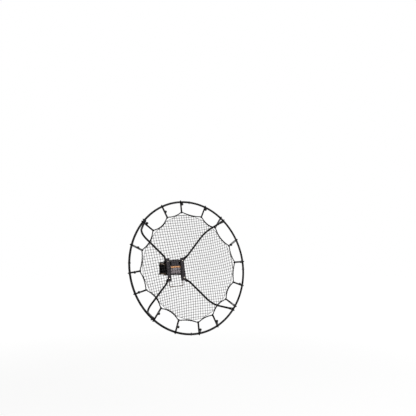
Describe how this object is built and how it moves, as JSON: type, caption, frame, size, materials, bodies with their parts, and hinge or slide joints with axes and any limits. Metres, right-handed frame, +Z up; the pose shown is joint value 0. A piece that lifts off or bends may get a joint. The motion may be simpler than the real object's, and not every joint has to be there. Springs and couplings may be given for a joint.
{
  "type": "rebounding net",
  "caption": "Round tilting rebounding net on four bent arms, with a latch yoke and a clamp for a square pole.",
  "frame": {"origin": "on the front clamp's face that touches the pole, in the middle of the four clamp bolts", "axes": "+Y from the player to the pole, +Z up, +X to the player's right"},
  "size_m": [1.2258, 0.5632, 1.2054],
  "materials": {
    "clamp_black": "satin black powder coat",
    "yoke_black": "satin black powder coat",
    "frame_black": "semi-gloss black powder coat",
    "zinc": "zinc plated",
    "bail_wire": "yellowed zinc plated wire",
    "net_cord": "knotted black polyester net",
    "border_cord": "black braided cord",
    "bungee_black": "black covered elastic with a black plastic ball"
  },
  "bodies": {
    "pole_clamp": {"front_clamp": "clamp_black", "rear_clamp": "clamp_black", "clamp_bolt_1": "zinc", "clamp_bolt_2": "zinc", "clamp_bolt_3": "zinc", "clamp_bolt_4": "zinc", "clamp_nut_1": "zinc", "clamp_nut_2": "zinc", "clamp_nut_3": "zinc", "clamp_nut_4": "zinc", "pivot_bolt_left": "zinc", "pivot_bolt_right": "zinc", "pivot_nut_left": "zinc", "pivot_nut_right": "zinc"},
    "net_yoke": {"side_bracket_right": "yoke_black", "side_bracket_left": "yoke_black", "yoke_web": "yoke_black", "latch_spring_left": "zinc", "latch_spring_right": "zinc", "net": "net_cord", "border_cord": "border_cord", "arm_hub_bolt_1": "zinc", "ring_screw_1": "zinc", "arm_ring_bolt_1": "zinc", "ring_quarter_1": "frame_black", "arm_1": "frame_black", "arm_hub_bolt_2": "zinc", "ring_screw_2": "zinc", "arm_ring_bolt_2": "zinc", "ring_quarter_2": "frame_black", "arm_2": "frame_black", "arm_hub_bolt_3": "zinc", "ring_screw_3": "zinc", "arm_ring_bolt_3": "zinc", "ring_quarter_3": "frame_black", "arm_3": "frame_black", "arm_hub_bolt_4": "zinc", "ring_screw_4": "zinc", "arm_ring_bolt_4": "zinc", "ring_quarter_4": "frame_black", "arm_4": "frame_black", "bungee_1": "bungee_black", "bungee_2": "bungee_black", "bungee_3": "bungee_black", "bungee_4": "bungee_black", "bungee_5": "bungee_black", "bungee_6": "bungee_black", "bungee_7": "bungee_black", "bungee_8": "bungee_black", "bungee_9": "bungee_black", "bungee_10": "bungee_black", "bungee_11": "bungee_black", "bungee_12": "bungee_black", "bungee_13": "bungee_black", "bungee_14": "bungee_black", "bungee_15": "bungee_black", "bungee_16": "bungee_black"},
    "bail": {"release_bail": "bail_wire"}
  },
  "joints": [
    {"name": "net_tilt", "type": "hinge", "parent": "pole_clamp", "child": "net_yoke", "pos_m": [0, -0.024, 0.072], "axis": [-1, 0, 0], "range_deg": [-10.75, 10.75]},
    {"name": "bail_pull", "type": "slide", "parent": "net_yoke", "child": "bail", "axis": [0, -0.1865, -0.9825], "range_m": [0, 0.008], "stiffness_N_per_m": 1200, "springref_m": -0.006, "deforming": ["latch_spring_left", "latch_spring_right"]}
  ]
}
